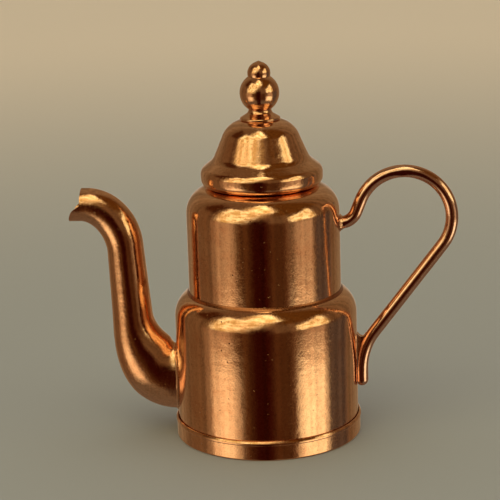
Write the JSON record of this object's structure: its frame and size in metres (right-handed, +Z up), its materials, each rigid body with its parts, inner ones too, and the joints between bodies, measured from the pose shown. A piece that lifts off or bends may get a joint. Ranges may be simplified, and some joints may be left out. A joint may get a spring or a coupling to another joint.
{
  "type": "coffee pot",
  "caption": "Miniature copper coffee pot with two stacked drums, a swan-neck spout, a bent wire handle and a lift-off lid with a turned ball finial.",
  "frame": {"origin": "centre of the flat underside of the base tray", "axes": "+Z up through the finial, -X towards the spout's mouth, +X towards the handle"},
  "size_m": [0.0614, 0.0298, 0.06],
  "materials": {
    "copper": "polished copper with a fine grain",
    "lid_copper": "polished copper with a fine grain",
    "inner_copper": "dull unpolished copper",
    "solder": "copper-coloured solder, smoothed by hand"
  },
  "bodies": {
    "pot": {"base_tray": "copper", "lower_drum": "copper", "upper_drum": "copper", "seam_solder": "solder", "spout": "copper", "spout_solder": "solder", "handle": "copper", "handle_top_solder": "solder", "handle_foot_solder": "solder"},
    "lid": {"lid_shell": "lid_copper", "lid_bezel": "inner_copper", "finial": "lid_copper", "finial_washer": "inner_copper"}
  },
  "joints": [
    {"name": "lid_lift", "type": "slide", "parent": "pot", "child": "lid", "axis": [0, 0, 1], "range_m": [0, 0.025]}
  ]
}
